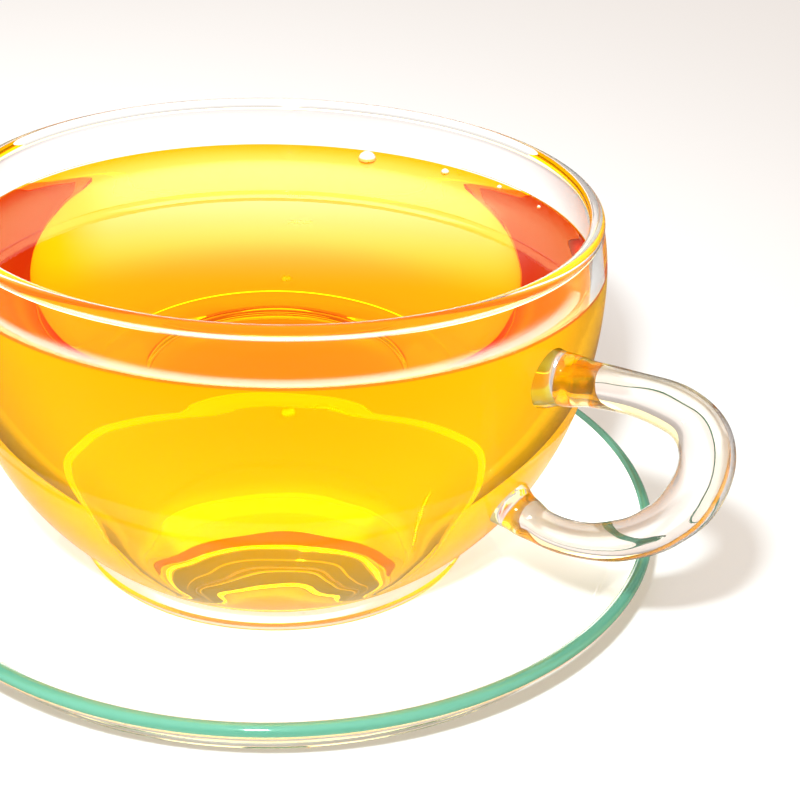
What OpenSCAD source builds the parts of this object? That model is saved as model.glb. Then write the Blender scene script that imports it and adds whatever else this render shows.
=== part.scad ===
// Glass cup of tea on a glass saucer.
// The origin is the middle of the saucer's flat underside, +Z is up and the handle points along +X.

/* [Bowl] */
// Widest outer diameter of the bowl
bowl_d = 108; // [90:0.5:130]
// Height of the cup from its seat to the top of the rim
cup_h = 61.8; // [56:0.1:76]
// Drop from the middle of the rim bead to the widest line of the bowl
belly_drop = 11.3; // [6:0.1:14]
// Fullness of the bowl below its widest line, where 2 is an ellipse
bowl_fullness = 2.12; // [1.9:0.01:2.5]
// Thickness of the glass wall
wall_t = 2.2; // [1.8:0.1:2.8]
// How far the outside of the rim lies inside the widest line of the bowl
rim_inset = 1.3; // [0.5:0.1:6]
// How much thicker the rounded rim bead is than the wall
bead_extra = 0.3; // [0.1:0.1:1]

/* [Foot of the cup] */
// Diameter of the flat ring that the cup stands on
foot_d = 59; // [50:0.5:66]
// Thickness of the bottom of the bowl
floor_t = 3.4; // [2.6:0.1:5]
// Softness of the corner between the inner wall and the inner floor
floor_round = 3.2; // [1:0.1:5]
// Width of the flat ring
foot_ring_w = 6.5; // [1.5:0.1:10]
// Depth of the hollow under the foot
hollow_h = 0.7; // [0.3:0.1:1.2]

/* [Handle] */
// How far the middle of the rod stands out from the widest line of the bowl
handle_out = 26.5; // [22:0.5:34]
// Drop from the middle of the rim bead to the handle's upper root
root_top_drop = 14.5; // [12:0.5:18]
// Drop from the middle of the rim bead to the handle's lower root
root_low_drop = 37.2; // [34:0.2:42]
// Rise of the upper arm away from the bowl, in degrees
top_slope = 7; // [0:1:12]
// Sag of the lower arm away from the bowl, in degrees
low_slope = 10; // [4:1:14]
// Radius of the pressed corner between the upper arm and the side
corner_r = 7.8; // [6:0.1:9]
// Length of the straight side below the corner
side_len = 3; // [2:0.1:5]
// Thickness of the rod at the upper arm
rod_top_d = 6.4; // [5.4:0.1:7.4]
// Thickness of the rod at the pressed corner
rod_corner_d = 7.8; // [6.4:0.1:9]
// Thickness of the rod at the lower bend
rod_bend_d = 6; // [5:0.1:7]
// Thickness of the rod at the lower arm
rod_low_d = 5.2; // [4.4:0.1:6.4]
// Extra thickness where the rod is melted on to the bowl
root_swell = 1.6; // [0:0.1:2]
// Length of the thicker root
root_len = 4.5; // [3:0.1:6]

/* [Tea] */
// Drop from the middle of the rim bead to the tea's surface
tea_drop = 7.6; // [5:0.1:40]

/* [Saucer] */
// Outer diameter of the saucer
saucer_d = 133.6; // [110:0.2:162]
// Height of the saucer from its underside to the top of its edge
saucer_h = 9.2; // [7:0.1:14]
// Thickness of the saucer's glass
saucer_t = 2.4; // [1.8:0.1:3]
// Slope of the saucer's border, in degrees
border_slope = 50; // [35:1:65]
// Radius of the bend between the flat and the border, at mid thickness
border_bend = 3.5; // [2:0.1:5]
// Width of the low ring around the cup's seat
ring_w = 2.6; // [1.6:0.1:4]
// Height of the low ring around the cup's seat
ring_h = 0.8; // [0.4:0.1:1.2]
// Play between the cup's foot and the low ring, on each side
seat_play = 2.1; // [0.6:0.1:4]

/* [Hidden] */

$fn = 72;
CURVE_STEPS = 30;      // segments of the bowl below its widest line
SHOULDER_STEPS = 5;    // segments of the bowl above its widest line
BEAD_STEPS = 12;       // segments of the rim bead
BEND_STEPS = 6;        // segments of the saucer's bend
LAP = 0.4;             // how far one stretch of the handle's rod runs into the next
LAP_STEP = 0.1;        // how much thinner it is there

seat_z = saucer_t;
bead_d = wall_t + bead_extra;
bead_r = bead_d / 2;
bead_z = seat_z + cup_h - bead_r;
belly_z = bead_z - belly_drop;
belly_r = bowl_d / 2;
foot_r = foot_d / 2;
hollow_r = foot_r - foot_ring_w;
floor_z = seat_z + floor_t;
tea_z = bead_z - tea_drop;

// The wall runs up into the bead where the two are equally thick
bead_join = acos(wall_t / bead_d);
bead_mid = [belly_r - rim_inset - bead_r, bead_z];
wall_top = bead_mid + [wall_t / 2, -bead_r * sin(bead_join)];

// Above its widest line the outer wall is part of an ellipse that ends at the bead
shoulder_angle = acos(wall_top[0] / belly_r);
shoulder_h = (wall_top[1] - belly_z) / sin(shoulder_angle);
function shoulder_point(a) = [belly_r * cos(a), belly_z + shoulder_h * sin(a)];

// Below it the wall is a fuller curve, cut off by the seat where its radius is the foot's
bowl_depth = (belly_z - seat_z) / pow(1 - pow(foot_r / belly_r, bowl_fullness), 1 / bowl_fullness);
foot_angle = acos(pow(foot_r / belly_r, bowl_fullness / 2));
function bowl_point(a) = [
    belly_r * pow(cos(a), 2 / bowl_fullness),
    belly_z - bowl_depth * pow(sin(a), 2 / bowl_fullness)
];
function bowl_normal(a) =
    let (n = [pow(cos(a), 2 - 2 / bowl_fullness) / belly_r,
              -pow(sin(a), 2 - 2 / bowl_fullness) / bowl_depth])
    n / norm(n);

// The larger of two heights, with a soft change from one to the other
function soft_max(a, b, k) = (a + b + sqrt(pow(a - b, 2) + k * k)) / 2;
// The inner wall is the outer one moved in by the wall, and flattens out at the floor
function inner_point(a) =
    let (p = bowl_point(a) - wall_t * bowl_normal(a))
    [p[0], soft_max(p[1], floor_z, floor_round)];

outer_wall = concat(
    [for (i = [CURVE_STEPS : -1 : 0]) bowl_point(foot_angle * i / CURVE_STEPS)],
    [for (i = [1 : SHOULDER_STEPS]) shoulder_point(shoulder_angle * i / SHOULDER_STEPS)]
);
bead_arc = [for (i = [1 : BEAD_STEPS - 1])
    let (a = -bead_join + (180 + 2 * bead_join) * i / BEAD_STEPS)
    bead_mid + bead_r * [cos(a), sin(a)]];
inner_wall = concat(
    [for (i = [SHOULDER_STEPS : -1 : 1])
        shoulder_point(shoulder_angle * i / SHOULDER_STEPS) - [wall_t, 0]],
    [for (i = [0 : CURVE_STEPS - 1]) inner_point(90 * i / CURVE_STEPS)],
    [[0, inner_point(90)[1]]]
);

// The bowl's angle and the middle of the wall, at a height below the widest line
function wall_angle(z) = asin(pow((belly_z - z) / bowl_depth, bowl_fullness / 2));
function wall_mid(z) = bowl_point(wall_angle(z)) - wall_t / 2 * bowl_normal(wall_angle(z));

// The handle's middle line: an arm, a tight corner, a short side, a wide bend and an arm back
handle_x = belly_r + handle_out;
top_root = wall_mid(bead_z - root_top_drop);
low_root = wall_mid(bead_z - root_low_drop);
corner_mid_x = handle_x - corner_r;
arm_end_x = corner_mid_x - corner_r * sin(top_slope);
arm_end_z = top_root[1] + (arm_end_x - top_root[0]) * tan(top_slope);
corner_mid = [corner_mid_x, arm_end_z - corner_r * cos(top_slope)];
bend_z = corner_mid[1] - side_len;
bend_r = (bend_z - low_root[1] + (handle_x - low_root[0]) * tan(low_slope))
    / (cos(low_slope) + (1 + sin(low_slope)) * tan(low_slope));
bend_mid = [handle_x - bend_r, bend_z];
top_arm_len = norm([arm_end_x, arm_end_z] - top_root);
low_arm_len = norm(bend_mid - bend_r * [sin(low_slope), cos(low_slope)] - low_root);

// The saucer's border: its middle line leaves the flat in a bend and rises straight to the edge
edge_r = saucer_t / 2;
edge_mid = [saucer_d / 2 - edge_r, saucer_h - edge_r];
border_len = (edge_mid[1] - edge_r - border_bend * (1 - cos(border_slope))) / sin(border_slope);
flat_r = edge_mid[0] - border_bend * sin(border_slope) - border_len * cos(border_slope);
function bend_point(radius, a) = [flat_r + radius * sin(a), edge_r + border_bend - radius * cos(a)];
edge_arc = [for (i = [0 : BEAD_STEPS])
    let (a = border_slope - 90 + 180 * i / BEAD_STEPS)
    edge_mid + edge_r * [cos(a), sin(a)]];

// The low ring is half of a flat oval that stands on the saucer
ring_mid_r = foot_r + seat_play + ring_w / 2;
ring_arc = [for (i = [0 : BEAD_STEPS])
    let (a = 180 * i / BEAD_STEPS)
    [ring_mid_r + ring_w / 2 * cos(a), saucer_t + ring_h * sin(a)]];

module bowl() {
    rotate_extrude() polygon(concat(
        outer_wall, bead_arc, inner_wall,
        [[0, seat_z + hollow_h], [hollow_r, seat_z + hollow_h], [hollow_r, seat_z]]
    ));
}

// An arm from its root in the wall, thicker at the root, which laps into the next stretch
module arm(root, slope, length, root_d, end_d) {
    translate([root[0], 0, root[1]]) rotate([0, 90 - slope, 0]) {
        cylinder(d1 = root_d, d2 = end_d - LAP_STEP, h = length + LAP);
        cylinder(d1 = root_d + root_swell, d2 = root_d - LAP_STEP, h = root_len);
    }
}

// A bent stretch of rod in the handle's plane
module bend(mid, radius, rod, from, turn) {
    translate([mid[0], 0, mid[1]]) rotate([90, 0, 0]) rotate([0, 0, from])
        rotate_extrude(angle = turn) translate([radius, 0]) circle(d = rod, $fn = 48);
}

module handle() {
    arm(top_root, top_slope, top_arm_len, rod_top_d, rod_corner_d);
    bend(corner_mid, corner_r, rod_corner_d, 0, 90 + top_slope);
    translate([handle_x, 0, bend_z - LAP])
        cylinder(d1 = rod_bend_d - LAP_STEP, d2 = rod_corner_d - LAP_STEP, h = side_len + 2 * LAP);
    bend(bend_mid, bend_r, rod_bend_d, -90 - low_slope, 90 + low_slope);
    arm(low_root, -low_slope, low_arm_len, rod_low_d, rod_bend_d);
}

module cup() {
    color("aliceblue", 0.5) {
        bowl();
        handle();
    }
}

module tea() {
    color("orange", 0.8) rotate_extrude() intersection() {
        polygon(concat(inner_wall, [[0, wall_top[1]]]));
        translate([0, seat_z]) square([belly_r, tea_z - seat_z]);
    }
}

module saucer() {
    color("mediumaquamarine", 0.5) rotate_extrude() polygon(concat(
        [[0, 0]],
        [for (i = [0 : BEND_STEPS]) bend_point(border_bend + edge_r, border_slope * i / BEND_STEPS)],
        edge_arc,
        [for (i = [BEND_STEPS : -1 : 0]) bend_point(border_bend - edge_r, border_slope * i / BEND_STEPS)],
        ring_arc,
        [[0, saucer_t]]
    ));
}

cup();
tea();
saucer();
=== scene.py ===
import math

import bmesh
import bpy
from mathutils import Matrix, Vector


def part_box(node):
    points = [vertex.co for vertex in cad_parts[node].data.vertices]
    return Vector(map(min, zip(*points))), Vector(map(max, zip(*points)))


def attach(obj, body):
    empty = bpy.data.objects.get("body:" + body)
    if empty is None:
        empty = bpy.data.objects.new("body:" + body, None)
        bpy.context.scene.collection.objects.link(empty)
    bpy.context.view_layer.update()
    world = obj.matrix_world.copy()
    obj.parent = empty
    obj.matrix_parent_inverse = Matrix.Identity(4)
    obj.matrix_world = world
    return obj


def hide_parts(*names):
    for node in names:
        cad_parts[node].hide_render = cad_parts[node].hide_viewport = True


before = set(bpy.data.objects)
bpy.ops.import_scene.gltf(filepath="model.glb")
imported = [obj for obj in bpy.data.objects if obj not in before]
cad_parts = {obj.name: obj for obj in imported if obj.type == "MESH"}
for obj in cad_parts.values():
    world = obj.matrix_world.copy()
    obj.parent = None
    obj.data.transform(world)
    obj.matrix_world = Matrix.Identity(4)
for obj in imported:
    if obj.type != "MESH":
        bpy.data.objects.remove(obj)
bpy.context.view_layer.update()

MM = 0.001

# ---------------------------------------------------------------- sizes in mm, as in the CAD source
BOWL_D = 108.0
BELLY_DROP = 11.3
FULLNESS = 2.12
WALL = 2.2
RIM_INSET = 1.3
BEAD_D = 2.5
FOOT_D = 59.0
FOOT_RING_W = 6.5
HOLLOW_H = 0.7
FLOOR_T = 3.4
FLOOR_ROUND = 3.2
SAUCER_T = 2.4
SAUCER_H = 9.2
SAUCER_D = 2 * min(-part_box("saucer")[0][0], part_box("saucer")[1][1]) / MM
BORDER_SLOPE = math.radians(50)
BORDER_BEND = 3.5
RING_W = 2.6
RING_H = 0.8
SEAT_PLAY = 2.1

rim_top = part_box("cup")[1][2] / MM
tea_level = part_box("tea")[1][2] / MM
seat = SAUCER_T
bead_r = BEAD_D / 2
bead_z = rim_top - bead_r
belly_z = bead_z - BELLY_DROP
belly_r = BOWL_D / 2
foot_r = FOOT_D / 2
bowl_depth = (belly_z - seat) / (1 - (foot_r / belly_r) ** FULLNESS) ** (1 / FULLNESS)
foot_angle = math.acos((foot_r / belly_r) ** (FULLNESS / 2))
bead_join = math.acos(WALL / BEAD_D)
bead_mid = (belly_r - RIM_INSET - bead_r, bead_z)
wall_top = (bead_mid[0] + WALL / 2, bead_z - bead_r * math.sin(bead_join))
shoulder_angle = math.acos(wall_top[0] / belly_r)
shoulder_h = (wall_top[1] - belly_z) / math.sin(shoulder_angle)


def placed(name, data):
    """A new object in the scene."""
    obj = bpy.data.objects.new(name, data)
    bpy.context.scene.collection.objects.link(obj)
    return obj


# ---------------------------------------------------------------- camera
AIM = math.radians(127)
PITCH = math.radians(27.71)
ROLL = math.radians(2.733)
SENSOR_MM = 36
LENS_MM = 67.5
NEAR_CLIP = 0.005
eye = Vector((0.1552, -0.1708, 0.1478))

forward = Vector((math.cos(AIM) * math.cos(PITCH), math.sin(AIM) * math.cos(PITCH), -math.sin(PITCH)))
level = forward.cross(Vector((0, 0, 1))).normalized()
upright = level.cross(forward)
right = level * math.cos(ROLL) + upright * math.sin(ROLL)
up = upright * math.cos(ROLL) - level * math.sin(ROLL)

camera = placed("camera", bpy.data.cameras.new("camera"))
camera.data.sensor_width = SENSOR_MM
camera.data.lens = LENS_MM
camera.data.clip_start = NEAR_CLIP
camera.matrix_world = Matrix.Translation(eye) @ Matrix((right, up, -forward)).transposed().to_4x4()
bpy.context.scene.camera = camera

# ---------------------------------------------------------------- profiles, as radius and height in mm
BOWL_STEPS, SHOULDER_STEPS, BEAD_STEPS, INNER_STEPS, TEA_STEPS = 60, 16, 30, 72, 90
BEND_STEPS, EDGE_STEPS, RING_STEPS = 12, 28, 21
NEAR_AXIS = 0.004   # the curve of the bowl's inner bottom ends this short of the axis, as an angle
# The rounded edges under the foot: distance past the hollow's or foot's radius, and height above the seat
HOLLOW_EDGE = ((-1.6, HOLLOW_H), (-0.7, HOLLOW_H - 0.12), (-0.2, HOLLOW_H - 0.42), (0.25, 0.16), (1.0, 0.0))
HEEL_EDGE = ((-0.9, 0.0), (-0.25, 0.12))


def shoulder_point(a):
    return (belly_r * math.cos(a), belly_z + shoulder_h * math.sin(a))


def bowl_point(a):
    return (belly_r * math.cos(a) ** (2 / FULLNESS), belly_z - bowl_depth * math.sin(a) ** (2 / FULLNESS))


def bowl_normal(a):
    x = math.cos(a) ** (2 - 2 / FULLNESS) / belly_r
    z = -math.sin(a) ** (2 - 2 / FULLNESS) / bowl_depth
    return (x / math.hypot(x, z), z / math.hypot(x, z))


def bowl_wall(z):
    """Radius of the bowl's outer wall at a height."""
    if z >= belly_z:
        return belly_r
    return bowl_point(math.asin(min(1, (belly_z - z) / bowl_depth) ** (FULLNESS / 2)))[0]


def soft_max(a, b, k):
    """The larger of two heights, with a soft change from one to the other."""
    return (a + b + math.sqrt((a - b) ** 2 + k * k)) / 2


def inner_point(a):
    p, n = bowl_point(a), bowl_normal(a)
    return (p[0] - WALL * n[0], soft_max(p[1] - WALL * n[1], seat + FLOOR_T, FLOOR_ROUND))


def spread(low, high, count):
    return [low + (high - low) * i / (count - 1) for i in range(count)]


def arc(middle, radius, start, end, count):
    return [(middle[0] + radius * math.cos(a), middle[1] + radius * math.sin(a))
            for a in spread(start, end, count)]


def cup_profile():
    outer = [bowl_point(a) for a in spread(foot_angle, 0.0, BOWL_STEPS)]
    outer += [shoulder_point(a) for a in spread(0, shoulder_angle, SHOULDER_STEPS)[1:]]
    bead = arc(bead_mid, bead_r, -bead_join, math.pi + bead_join, BEAD_STEPS)[1:-1]
    inner = [(p[0] - WALL, p[1]) for p in map(shoulder_point, spread(shoulder_angle, 0, SHOULDER_STEPS))]
    inner += [inner_point(a) for a in spread(0, math.pi / 2 - NEAR_AXIS, INNER_STEPS)[1:]]
    under = [(foot_r - FOOT_RING_W + past, seat + z) for past, z in HOLLOW_EDGE]
    under += [(foot_r + past, seat + z) for past, z in HEEL_EDGE]
    return outer[1:] + bead + inner + [(0, inner[-1][1]), (0, seat + HOLLOW_H)] + under


# ---------------------------------------------------------------- meshes
def outward(mesh):
    bm = bmesh.new()
    bm.from_mesh(mesh)
    bmesh.ops.recalc_face_normals(bm, faces=bm.faces)
    bm.to_mesh(mesh)
    bm.free()


def solid(name, verts, faces, slots=None):
    """A closed mesh in the scene. slots gives each face's material."""
    mesh = bpy.data.meshes.new(name)
    mesh.from_pydata(verts, [], faces)
    if slots:
        mesh.polygons.foreach_set("material_index", slots)
    mesh.update()
    outward(mesh)
    return placed(name, mesh)


def lathe(name, profile, slot_of, turns=256):
    """A closed profile turned about the upright axis.

    slot_of gives the material slot from the middle of a profile segment."""
    verts, faces, rows, slots = [], [], [], []
    for r, z in profile:
        if r < 1e-6:
            rows.append([len(verts)])
            verts.append((0, 0, z * MM))
        else:
            rows.append(list(range(len(verts), len(verts) + turns)))
            verts += [(r * MM * math.cos(math.tau * i / turns), r * MM * math.sin(math.tau * i / turns),
                       z * MM) for i in range(turns)]
    for k, (a, b) in enumerate(zip(rows, rows[1:] + rows[:1])):
        if len(a) == 1 and len(b) == 1:
            continue
        p, q = profile[k], profile[(k + 1) % len(profile)]
        slots += [slot_of((p[0] + q[0]) / 2, (p[1] + q[1]) / 2)] * turns
        for i in range(turns):
            j = (i + 1) % turns
            if len(a) == 1:
                faces.append((a[0], b[j], b[i]))
            elif len(b) == 1:
                faces.append((a[i], a[j], b[0]))
            else:
                faces.append((a[i], a[j], b[j], b[i]))
    return solid(name, verts, faces, slots)


def smooth(obj, angle=None):
    """Shade smooth, with edges sharper than the angle, in degrees, kept sharp."""
    for poly in obj.data.polygons:
        poly.use_smooth = True
    if angle is not None:
        obj.data.set_sharp_from_angle(angle=math.radians(angle))


def combine(obj, other, how):
    """Join another solid to obj or cut it out of obj, and delete the other one."""
    change = obj.modifiers.new(how, "BOOLEAN")
    change.operation = how
    change.object = other
    change.solver = "EXACT"
    bpy.context.view_layer.update()
    done = bpy.data.meshes.new_from_object(obj.evaluated_get(bpy.context.evaluated_depsgraph_get()))
    obj.modifiers.clear()
    old = obj.data
    obj.data = done
    bpy.data.meshes.remove(old)
    bpy.data.objects.remove(other)


# ---------------------------------------------------------------- handle
# The rod's middle line in four curves, as distance from the axis and height over the bead, and their steps
ROD_CURVES = (
    (((52.85, -14.0), (60, -12.6), (69, -10.9), (74.4, -11.6)), 28),
    (((74.4, -11.6), (78.8, -12.2), (80.8, -15.2), (80.3, -19.6)), 18),
    (((80.3, -19.6), (79.3, -28.5), (70, -38.2), (58.5, -39.4)), 34),
    (((58.5, -39.4), (54.5, -39.8), (51.4, -38.8), (48.05, -37.3)), 20),
)
# The rod's height and width, at places from 0 at the upper root to 1 at the lower root
ROD_SIZES = ((0.0, 9.6, 9.8), (0.05, 8.0, 8.2), (0.12, 6.6, 6.8), (0.2, 6.3, 6.5), (0.3, 7.2, 6.9),
             (0.38, 8.0, 7.3), (0.5, 7.9, 7.0), (0.6, 7.0, 6.5), (0.7, 6.3, 6.2), (0.82, 5.5, 5.8),
             (0.9, 5.4, 5.9), (0.95, 6.3, 7.0), (1.0, 8.0, 8.8))
ROD_SIDES = 48


def bezier(p, t):
    a, b, c, d = p
    return tuple(a[k] * (1 - t) ** 3 + 3 * b[k] * t * (1 - t) ** 2
                 + 3 * c[k] * t * t * (1 - t) + d[k] * t ** 3 for k in (0, 1))


def rod_size(s):
    for (s0, h0, w0), (s1, h1, w1) in zip(ROD_SIZES, ROD_SIZES[1:]):
        if s <= s1:
            t = (s - s0) / (s1 - s0)
            t = t * t * (3 - 2 * t)
            return h0 + (h1 - h0) * t, w0 + (w1 - w0) * t
    return ROD_SIZES[-1][1:]


def handle_solid():
    path = []
    for curve, count in ROD_CURVES:
        path += [bezier(curve, t) for t in spread(0, 1, count)][:-1]
    path.append(ROD_CURVES[-1][0][-1])
    run = [0.0]
    for p, q in zip(path, path[1:]):
        run.append(run[-1] + math.dist(p, q))
    verts, faces = [], []
    for i, (x, z) in enumerate(path):
        before, after = path[max(i - 1, 0)], path[min(i + 1, len(path) - 1)]
        tx, tz = after[0] - before[0], after[1] - before[1]
        size = math.hypot(tx, tz)
        nx, nz = -tz / size, tx / size
        h, w = rod_size(run[i] / run[-1])
        for k in range(ROD_SIDES):
            a = math.tau * k / ROD_SIDES
            u, v = h / 2 * math.cos(a), w / 2 * math.sin(a)
            verts.append(((x + nx * u) * MM, v * MM, (bead_z + z + nz * u) * MM))
    last = (len(path) - 1) * ROD_SIDES
    for i in range(0, last, ROD_SIDES):
        for k in range(ROD_SIDES):
            m = (k + 1) % ROD_SIDES
            faces.append((i + k, i + m, i + ROD_SIDES + m, i + ROD_SIDES + k))
    faces.append(tuple(range(ROD_SIDES)))
    faces.append(tuple(last + k for k in range(ROD_SIDES)))
    return solid("handle", verts, faces)


# ---------------------------------------------------------------- shader nodes
def fill(tree, node, sockets):
    """Give sockets, by name or number, a value or another node's output."""
    for key, value in sockets.items():
        if isinstance(value, bpy.types.NodeSocket):
            tree.links.new(value, node.inputs[key])
        else:
            node.inputs[key].default_value = value


def add(tree, kind, sockets=None, **settings):
    """A new shader node."""
    node = tree.nodes.new("ShaderNode" + kind)
    for name, value in settings.items():
        setattr(node, name, value)
    fill(tree, node, sockets or {})
    return node


def calc(tree, operation, *values, kind="Math", out=0):
    return add(tree, kind, dict(enumerate(values)), operation=operation).outputs[out]


def dot(tree, one, other):
    return calc(tree, "DOT_PRODUCT", one, other, kind="VectorMath", out="Value")


def level_part(tree, value):
    """A direction or a place without its height."""
    return calc(tree, "MULTIPLY", value, (1, 1, 0), kind="VectorMath")


def ease(tree, value, start, end, low=0.0, high=1.0):
    """A soft step from low to high while value goes from start to end."""
    return add(tree, "MapRange", {"Value": value, "From Min": start, "From Max": end, "To Min": low,
                                  "To Max": high}, interpolation_type="SMOOTHSTEP").outputs[0]


def blend(tree, share, one, other, kind="RGBA"):
    return add(tree, "Mix", {"Factor": share, "A": one, "B": other}, data_type=kind).outputs["Result"]


def mixed(tree, share, one, other):
    """A shader that goes from one to the other."""
    return add(tree, "MixShader", {0: share, 1: one, 2: other}).outputs[0]


def ramp(tree, value, stops):
    """Colours at places, with even changes between them."""
    node = add(tree, "ValToRGB", {"Fac": value})
    elements = node.color_ramp.elements
    while len(elements) < len(stops):
        elements.new(0.5)
    for element, (place, colour) in zip(elements, stops):
        element.position = place
        element.color = colour
    return node.outputs["Color"]


def grey(amount):
    return (amount, amount, amount, 1)


def new_material(name):
    mat = bpy.data.materials.new(name)
    mat.use_nodes = True
    return mat


# ---------------------------------------------------------------- glass and tea
CUP_IOR, TEA_IOR, SAUCER_IOR = 1.47, 1.333, 1.5
WHITE = (1, 1, 1)
DEEP = 8               # a ray that has bounced more often than this goes straight on
MIRROR_FROM = 0.9      # from this Fresnel value up, a surface turns into a full mirror
OUTLINE_SLANT = (0.3, 0.9)   # slants between which a surface takes its outline's shade
RIPPLE_SCALE = 55
TEA_COLOUR = (0.998, 0.905, 0.0, 1)
TEA_DENSITY = 105
EDGE_GREEN = (0.095, 0.33, 0.225, 1)
# A painted glow on the saucer's green edge, standing in for the bright arch of light seen through the tea:
# its colour, its strength, and how many surfaces deep it shows
EDGE_PAINTED_LIGHT = (1, 0.98, 0.85, 1)
EDGE_PAINTED_GLOW = 1.8
EDGE_BEHIND = 2.5      # the edge glows for rays that have gone through more surfaces than this


def glass(name, tint, ior, lamps, around=0.95, mirror=0.5, ripple=0.0, outline=1.0):
    """Smooth glass or liquid, a full mirror past the critical angle and a fainter one than real before it.

    lamps and around say how much light goes straight through to plain surfaces behind: from lamps, and from
    around. mirror is what is left of the real mirroring before the critical angle, ripple the height of slow
    waves in the surface, in m, and outline how bright the glass is where it is seen at a slant, a painted
    shade that darkens its edges."""
    mat = new_material(name)
    nt = mat.node_tree
    nt.nodes.remove(nt.nodes["Principled BSDF"])
    bend = add(nt, "BsdfRefraction", {"Color": (*tint, 1), "Roughness": 0, "IOR": ior})
    shine = add(nt, "BsdfAnisotropic", {"Color": (*WHITE, 1), "Roughness": 0})
    fresnel = add(nt, "Fresnel", {"IOR": ior})
    # Painted shade: the glass's colour darkens where it is seen at a slant
    if outline < 1:
        slant = add(nt, "LayerWeight").outputs["Facing"]
        shade = blend(nt, ease(nt, slant, *OUTLINE_SLANT), (*tint, 1), (*(outline * c for c in tint), 1))
        nt.links.new(shade, bend.inputs["Color"])
    if ripple:
        where = add(nt, "TexCoord").outputs["Object"]
        noise = add(nt, "TexNoise", {"Vector": where, "Scale": RIPPLE_SCALE, "Detail": 1})
        bump = add(nt, "Bump", {"Height": noise.outputs[0], "Strength": 1, "Distance": ripple})
        for node in (bend, shine, fresnel):
            nt.links.new(bump.outputs[0], node.inputs["Normal"])
    total = add(nt, "MapRange", {"Value": fresnel.outputs[0], "From Min": MIRROR_FROM, "From Max": 1.0})
    faint = calc(nt, "MULTIPLY", fresnel.outputs[0], mirror)
    share = calc(nt, "MAXIMUM", total.outputs[0], faint)
    shader = mixed(nt, share, bend.outputs[0], shine.outputs[0])
    path = add(nt, "LightPath").outputs
    for dim, rays in ((around, "Is Diffuse Ray"), (lamps, "Is Shadow Ray")):
        through = add(nt, "BsdfTransparent", {"Color": grey(dim)})
        shader = mixed(nt, path[rays], shader, through.outputs[0])
    deep = calc(nt, "GREATER_THAN", path["Ray Depth"], DEEP)
    shader = mixed(nt, deep, shader, add(nt, "BsdfTransparent").outputs[0])
    nt.links.new(shader, nt.nodes["Material Output"].inputs["Surface"])
    return mat


def tea_look(name, mirror):
    """Clear liquid that turns amber with depth."""
    mat = glass(name, WHITE, TEA_IOR, 0.0, mirror=mirror)
    nt = mat.node_tree
    absorb = add(nt, "VolumeAbsorption", {"Color": TEA_COLOUR, "Density": TEA_DENSITY})
    nt.links.new(absorb.outputs[0], nt.nodes["Material Output"].inputs["Volume"])
    return mat


def edge_look():
    """The saucer's green edge, with a painted glow where it is seen through glass on glass."""
    mat = new_material("green_saucer_edge")
    nt = mat.node_tree
    behind = calc(nt, "GREATER_THAN", add(nt, "LightPath").outputs["Transmission Depth"], EDGE_BEHIND)
    fill(nt, nt.nodes["Principled BSDF"], {
        "Base Color": EDGE_GREEN, "Roughness": 0.06, "IOR": SAUCER_IOR, "Transmission Weight": 0.25,
        "Emission Color": EDGE_PAINTED_LIGHT, "Emission Strength": calc(nt, "MULTIPLY", behind, EDGE_PAINTED_GLOW)})
    return mat


dry_glass = glass("clear_cup_glass", (0.975, 0.98, 0.98), CUP_IOR, 0.38, mirror=0.35, ripple=0.00012,
                  outline=0.45)
wet_glass = glass("cup_glass_against_tea", WHITE, CUP_IOR, 0.98, mirror=0.0)
# The handle's glass is tinted pinkish grey as painted shade, standing in for the shaded table and dark room
# seen through the solid rod
handle_glass_painted_shade = glass("handle_glass_with_painted_shade", (0.80, 0.77, 0.755), CUP_IOR, 0.35, mirror=0.9, outline=0.4)
dish_glass = glass("clear_saucer_glass", (0.99, 0.998, 0.994), SAUCER_IOR, 0.97, mirror=0.5)
edge_glass = edge_look()
tea_top = tea_look("amber_tea", 0.85)
tea_side = tea_look("amber_tea_against_glass", 0.0)

# ---------------------------------------------------------------- cup
CUP_GLASSES = (dry_glass, wet_glass, handle_glass_painted_shade)
DRY, WET, ROD = range(len(CUP_GLASSES))


def cup_slot(r, z):
    inside = r < bowl_wall(z) - WALL / 2 and z > seat + FLOOR_T - 1
    return WET if inside and z < tea_level else DRY


cup = lathe("cup_of_clear_glass", cup_profile(), cup_slot)
rod = handle_solid()
for mat in CUP_GLASSES:
    cup.data.materials.append(mat)
    rod.data.materials.append(mat)
rod.data.polygons.foreach_set("material_index", [ROD] * len(rod.data.polygons))
combine(cup, rod, "UNION")
smooth(cup, 30)
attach(cup, "root")
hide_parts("cup")

# ---------------------------------------------------------------- tea
INTO_WALL = 0.12   # how far the tea reaches into the glass, so that no air gap shows
CREEP_H = 1.5      # how far the tea creeps up the wall
CREEP_L = 1.8      # distance from the wall at which the creep has shrunk to about a third
# The rings of the tea's surface, as distances from the wall
SURFACE_RINGS = (0.0, 0.12, 0.3, 0.5, 0.8, 1.2, 1.7, 2.3, 3.0, 4.0, 5.5, 7.5, 10, 14, 20, 28, 38, 46)
RISE_STEPS = 24
EDGE_TRIES = 200   # steps in the search for the radius of the wall at the tea's level
TOP, SIDE = 0, 1


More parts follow.
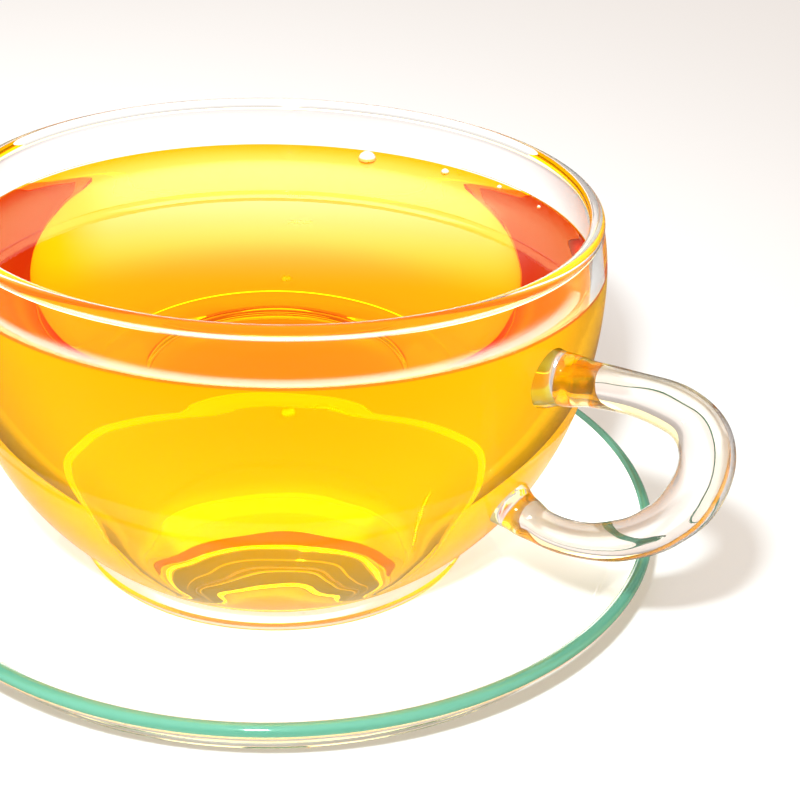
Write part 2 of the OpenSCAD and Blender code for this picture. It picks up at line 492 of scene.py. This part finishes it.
def tea_profile():
    inside = [inner_point(a) for a in spread(0, math.pi / 2 - NEAR_AXIS, TEA_STEPS)]
    wall = []
    for before, p, after in zip(inside[:1] + inside[:-1], inside, inside[1:] + inside[-1:]):
        run = math.dist(before, after)
        wall.append((p[0] - (after[1] - before[1]) / run * INTO_WALL,
                     p[1] + (after[0] - before[0]) / run * INTO_WALL))
    below = [p for p in wall if p[1] < tea_level - 0.05]
    shoulder = map(shoulder_point, spread(shoulder_angle, 0, EDGE_TRIES))
    edge_r = next((p[0] for p in shoulder if p[1] <= tea_level), belly_r) - WALL + INTO_WALL
    shoulder = map(shoulder_point, spread(0, shoulder_angle, RISE_STEPS)[1:])
    rise = [(p[0] - WALL + INTO_WALL, p[1]) for p in shoulder if p[1] < tea_level - 0.2]
    surface = [(edge_r - d, tea_level - CREEP_H * (1 - math.exp(-d / CREEP_L))) for d in SURFACE_RINGS]
    return [(0, surface[-1][1])] + surface[::-1] + rise[::-1] + below + [(0, below[-1][1])]


def tea_slot(r, z):
    return TOP if z > tea_level - CREEP_H - 0.01 and r < bowl_wall(z) - WALL - 0.001 else SIDE


tea = lathe("tea_in_the_cup", tea_profile(), tea_slot)
for mat in (tea_top, tea_side):
    tea.data.materials.append(mat)

# ---------------------------------------------------------------- bubbles
# Radius, distance from the axis and direction in degrees of each bubble that floats at the back
BUBBLES = ((1.75, 49.4, 112.2), (0.8, 49.9, 93.4), (0.5, 50.6, 79.0), (0.35, 50.6, 65.8))
BUBBLE_RINGS, BUBBLE_SIDES = 24, 48
SUNK = 0.2                      # how much of its radius a bubble's middle lies under the tea's surface
FILM_T = 0.04                   # thickness of its film
FILM_CAP = math.radians(96)     # how far down from its top the film reaches
# Colours up the film, as painted light: golden low down, white higher up
FILM_PAINTED_SHINE = ((0.36, (0.75, 0.50, 0.08, 1)), (0.56, (0.95, 0.95, 0.92, 1)))


def film_look():
    """Painted light: a white highlight at the top, and a golden glow from the tea below."""
    mat = new_material("bubble_film")
    nt = mat.node_tree
    height = add(nt, "SeparateXYZ", {0: add(nt, "TexCoord").outputs["Generated"]}).outputs["Z"]
    fill(nt, nt.nodes["Principled BSDF"], {"Roughness": 0.08, "IOR": TEA_IOR, "Transmission Weight": 0.15,
                                           "Base Color": ramp(nt, height, FILM_PAINTED_SHINE)})
    return mat


def from_bmesh(name, bm, centre):
    mesh = bpy.data.meshes.new(name)
    bm.to_mesh(mesh)
    bm.free()
    mesh.transform(Matrix.Translation(Vector(centre) * MM))
    return placed(name, mesh)


def ball(name, radius, centre):
    bm = bmesh.new()
    bmesh.ops.create_uvsphere(bm, u_segments=BUBBLE_SIDES, v_segments=BUBBLE_RINGS, radius=radius * MM)
    return from_bmesh(name, bm, centre)


def dome(name, radius, centre):
    """A thin closed skin over the upper part of a ball."""
    bm = bmesh.new()
    down = spread(0, FILM_CAP, BUBBLE_RINGS)
    rows = []
    for size, angles in ((radius * MM, down), ((radius - FILM_T) * MM, down[::-1])):
        for a in angles:
            rows.append([bm.verts.new((0, 0, size))] if a == 0 else [
                bm.verts.new((size * math.sin(a) * math.cos(math.tau * i / BUBBLE_SIDES),
                              size * math.sin(a) * math.sin(math.tau * i / BUBBLE_SIDES),
                              size * math.cos(a))) for i in range(BUBBLE_SIDES)])
    for low, high in zip(rows, rows[1:]):
        for i in range(BUBBLE_SIDES):
            j = (i + 1) % BUBBLE_SIDES
            first = [low[0]] if len(low) == 1 else [low[i], low[j]]
            second = [high[0]] if len(high) == 1 else [high[j], high[i]]
            bm.faces.new(first + second)
    bmesh.ops.recalc_face_normals(bm, faces=bm.faces)
    return from_bmesh(name, bm, centre)


film = film_look()
for number, (radius, away, turn) in enumerate(BUBBLES, 1):
    lift = CREEP_H * math.exp(-(belly_r - WALL - away) / CREEP_L)
    turn = math.radians(turn)
    centre = (away * math.cos(turn), away * math.sin(turn), tea_level - CREEP_H + lift - SUNK * radius)
    hole = ball("hole", radius, centre)
    hole.data.materials.append(tea_top)
    combine(tea, hole, "DIFFERENCE")
    bubble = dome(f"bubble_{number}", radius, centre)
    smooth(bubble)
    bubble.data.materials.append(film)
    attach(bubble, "root")
smooth(tea, 60)
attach(tea, "root")
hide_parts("tea")

# ---------------------------------------------------------------- saucer
SEAT_GAP = 0.04          # how much lower the saucer is under the cup's foot
EDGE_FROM = 0.58         # the green edge starts this part of the thickness under the top
RING_FLARE = 0.25        # how much wider the low ring is at its bottom
RING_ROUND = 1.3         # how softly it rises from its bottom, where 1 is an ellipse
RING_FOOT = (1.3, 1.6)   # how far the ring's bottom reaches inwards and outwards, in half widths
FLAT_RINGS = (0, 20, 40, 50)   # radii of the rings in the flat underside
DISH, EDGE = 0, 1


def saucer_profile():
    edge_r = SAUCER_T / 2
    edge_mid = (SAUCER_D / 2 - edge_r, SAUCER_H - edge_r)
    border_len = (edge_mid[1] - edge_r - BORDER_BEND * (1 - math.cos(BORDER_SLOPE))) / math.sin(BORDER_SLOPE)
    flat_r = edge_mid[0] - BORDER_BEND * math.sin(BORDER_SLOPE) - border_len * math.cos(BORDER_SLOPE)

    def bend(radius, a):
        return (flat_r + radius * math.sin(a), edge_r + BORDER_BEND - radius * math.cos(a))

    under = [(r, 0.0) for r in (*FLAT_RINGS, flat_r - 2, flat_r - 0.5)]
    under += [bend(BORDER_BEND + edge_r, a) for a in spread(0, BORDER_SLOPE, BEND_STEPS)]
    edge = arc(edge_mid, edge_r, BORDER_SLOPE - math.pi / 2, BORDER_SLOPE + math.pi / 2, EDGE_STEPS)
    over = [bend(BORDER_BEND - edge_r, a) for a in spread(BORDER_SLOPE, 0, BEND_STEPS)]
    ring_mid = foot_r + SEAT_PLAY + RING_W / 2
    ring = [(ring_mid + RING_W / 2 * math.cos(a) * (1 + RING_FLARE * abs(math.cos(a)) ** 3),
             SAUCER_T + RING_H * math.sin(a) ** RING_ROUND) for a in spread(0, math.pi, RING_STEPS)[1:-1]]
    outside = [(r, SAUCER_T) for r in (flat_r - 1, 50, ring_mid + RING_W / 2 * RING_FOOT[1])]
    inside = [(r, SAUCER_T) for r in (ring_mid - RING_W / 2 * RING_FOOT[0], foot_r + 0.4)]
    sunk = [(r, SAUCER_T - SEAT_GAP) for r in (foot_r + 0.2, 20, 0)]
    return under + edge + over + outside + ring + inside + sunk


def saucer_slot(r, z):
    return EDGE if z > SAUCER_H - SAUCER_T * EDGE_FROM else DISH


saucer = lathe("saucer_of_glass", saucer_profile(), saucer_slot)
for mat in (dish_glass, edge_glass):
    saucer.data.materials.append(mat)
smooth(saucer, 50)
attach(saucer, "root")
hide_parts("saucer")

# ---------------------------------------------------------------- floor
FLOOR_HALF = 3.0
FLOOR_Z = -0.03 * MM     # a hair under the saucer
FLOOR_WHITE = grey(0.86)
# The floor's colour for mirrored rays: painted darker, so its reflections in glass and tea are dimmer
FLOOR_PAINTED_DARK_IN_MIRRORS = grey(0.3)
PAINTED_GLOW_COLOUR = (1, 0.98, 0.93, 1)
PAINTED_GLOW_STRENGTH = 4.0
# How much painted glow the floor gets at a distance from the axis, in m: under the cup, and on the far side
# of it. It stands in for the light that tea and glass focus onto the table.
UNDER_CUP = ((0.0, 0.11), (0.028, 0.12), (0.038, 0.08), (0.052, 0.0))
FAR_SIDE = ((0.0, 0.0), (0.020, 0.0), (0.046, 0.16), (0.056, 0.34), (0.062, 0.30), (0.069, 0.26),
            (0.110, 0.21), (0.200, 0.12), (0.260, 0.0))
FAR_STEP = (-0.025, 0.015)    # where the far side starts, in m along the aim


def mirrored_ray(tree):
    """1 for a ray that glass or tea mirrored, 0 for any other and for one that has bounced often."""
    path = add(tree, "LightPath").outputs
    both = calc(tree, "MULTIPLY", path["Is Glossy Ray"], path["Is Reflection Ray"])
    return calc(tree, "MULTIPLY", both, calc(tree, "LESS_THAN", path["Ray Depth"], DEEP - 3))


def floor_look():
    """A white table. Rays that come through glass or tea see a painted glow on it, which stands in for the
    light that those gather; mirrored rays see it painted darker.
    """
    mat = new_material("white_table")
    ft = mat.node_tree
    spot = add(ft, "NewGeometry").outputs["Position"]
    away = calc(ft, "LENGTH", level_part(ft, spot), kind="VectorMath", out="Value")
    near = ramp(ft, away, [(place, grey(amount)) for place, amount in UNDER_CUP])
    far = ramp(ft, away, [(place, grey(amount)) for place, amount in FAR_SIDE])
    far_half = ease(ft, dot(ft, spot, (math.cos(AIM), math.sin(AIM), 0)), *FAR_STEP)
    seen_through = add(ft, "LightPath").outputs["Is Transmission Ray"]
    # Painted glow, shown only to rays seen through glass or tea
    glow = calc(ft, "MULTIPLY", calc(ft, "MULTIPLY_ADD", far, far_half, near), seen_through)
    fill(ft, ft.nodes["Principled BSDF"], {
        "Base Color": blend(ft, mirrored_ray(ft), FLOOR_WHITE, FLOOR_PAINTED_DARK_IN_MIRRORS), "Roughness": 0.9,
        "Specular IOR Level": 0, "Emission Color": PAINTED_GLOW_COLOUR,
        "Emission Strength": calc(ft, "MULTIPLY", glow, PAINTED_GLOW_STRENGTH)})
    return mat


corners = [(x, y, FLOOR_Z) for x, y in ((-FLOOR_HALF, -FLOOR_HALF), (FLOOR_HALF, -FLOOR_HALF),
                                        (FLOOR_HALF, FLOOR_HALF), (-FLOOR_HALF, FLOOR_HALF))]
floor = placed("floor", bpy.data.meshes.new("floor"))
floor.data.from_pydata(corners, [], [(0, 1, 2, 3)])
floor.data.materials.append(floor_look())

# ---------------------------------------------------------------- room light
ROOM_COLOUR = (0.87, 0.79, 0.735, 1)
ROOM_LIGHT = 1.04              # for plain surfaces and the camera
# Through glass the room is warmer and brighter, and a little less bright towards one side
GLASS_COLOUR = (0.95, 0.85, 0.46, 1)
DIM_SIDE = (0.50, -0.66, 0.56)
DIM_STEP = (0.05, 0.65)
GLASS_LIGHT = (2.6, 2.0)
# A mirrored ray sees a dark room with one bright window low down behind the cup
WINDOW = AIM + math.radians(4.2)
WINDOW_SIDES = (math.cos(math.radians(10)), math.cos(math.radians(7.5)))
WINDOW_TOP = (0.30, 0.40)
WINDOW_LIGHT = (8.5, 0.05)
DARK_ROOM = 0.04
WINDOW_THROUGH = 0.45          # how much of the window's light is added for a ray through glass


def room_look(wt):
    seen_through = add(wt, "LightPath").outputs["Is Transmission Ray"]
    way = add(wt, "TexCoord").outputs["Generated"]
    room = ease(wt, dot(wt, way, DIM_SIDE), *DIM_STEP, *GLASS_LIGHT)
    level_way = calc(wt, "NORMALIZE", level_part(wt, way), kind="VectorMath")
    behind = dot(wt, level_way, (math.cos(WINDOW), math.sin(WINDOW), 0))
    height = add(wt, "SeparateXYZ", {0: way}).outputs["Z"]
    low_down = ease(wt, height, *WINDOW_TOP, *WINDOW_LIGHT)
    window = calc(wt, "MULTIPLY_ADD", ease(wt, behind, *WINDOW_SIDES), low_down, DARK_ROOM)
    direct = calc(wt, "MULTIPLY_ADD", calc(wt, "MULTIPLY", window, WINDOW_THROUGH), seen_through,
                  blend(wt, seen_through, ROOM_LIGHT, room, kind="FLOAT"))
    fill(wt, wt.nodes["Background"], {
        "Color": blend(wt, seen_through, ROOM_COLOUR, GLASS_COLOUR),
        "Strength": blend(wt, mirrored_ray(wt), direct, window, kind="FLOAT")})


world = bpy.data.worlds.new("studio")
bpy.context.scene.world = world
world.use_nodes = True
world.cycles.sampling_method = "NONE"
room_look(world.node_tree)

# ---------------------------------------------------------------- flash beside the lens
FLASH_SIZE = (0.020, 0.012)
FLASH_ENERGY = 0.5
FLASH_STRENGTH = 4.0
FLASH_COLOUR = (0.86, 0.96, 1.0)
FLASH_SPREAD = math.radians(110)
FLASH_PLACE = (-0.019, 0.056)         # right and up from the lens, in m
FLASH_TARGET = (0.27, -0.08, 0.05)    # forward, right and up from the lens, in m
flash_at = eye + right * FLASH_PLACE[0] + up * FLASH_PLACE[1]
flash_to = eye + forward * FLASH_TARGET[0] + right * FLASH_TARGET[1] + up * FLASH_TARGET[2]

flash = placed("flash", bpy.data.lights.new("flash", "AREA"))
flash.data.shape = "RECTANGLE"
flash.data.size, flash.data.size_y = FLASH_SIZE
flash.data.energy = FLASH_ENERGY
flash.data.color = FLASH_COLOUR
flash.data.spread = FLASH_SPREAD
flash.data.use_nodes = True
lamp = flash.data.node_tree
fall = add(lamp, "LightFalloff", {"Strength": FLASH_STRENGTH}).outputs["Linear"]
fill(lamp, lamp.nodes["Emission"], {"Strength": fall})
turned = (flash_to - flash_at).to_track_quat("-Z", "Y").to_matrix().to_4x4()
flash.matrix_world = Matrix.Translation(flash_at) @ turned

# ---------------------------------------------------------------- scene settings
BOUNCES = 12
scene = bpy.context.scene
scene.view_settings.view_transform = "Standard"
scene.view_settings.look = "None"
scene.view_settings.exposure = 0
scene.view_settings.gamma = 1
scene.cycles.use_light_tree = False
scene.cycles.max_bounces = BOUNCES
scene.cycles.transmission_bounces = BOUNCES
scene.cycles.glossy_bounces = BOUNCES
scene.cycles.transparent_max_bounces = BOUNCES
scene.cycles.diffuse_bounces = 2
scene.cycles.sample_clamp_indirect = 0
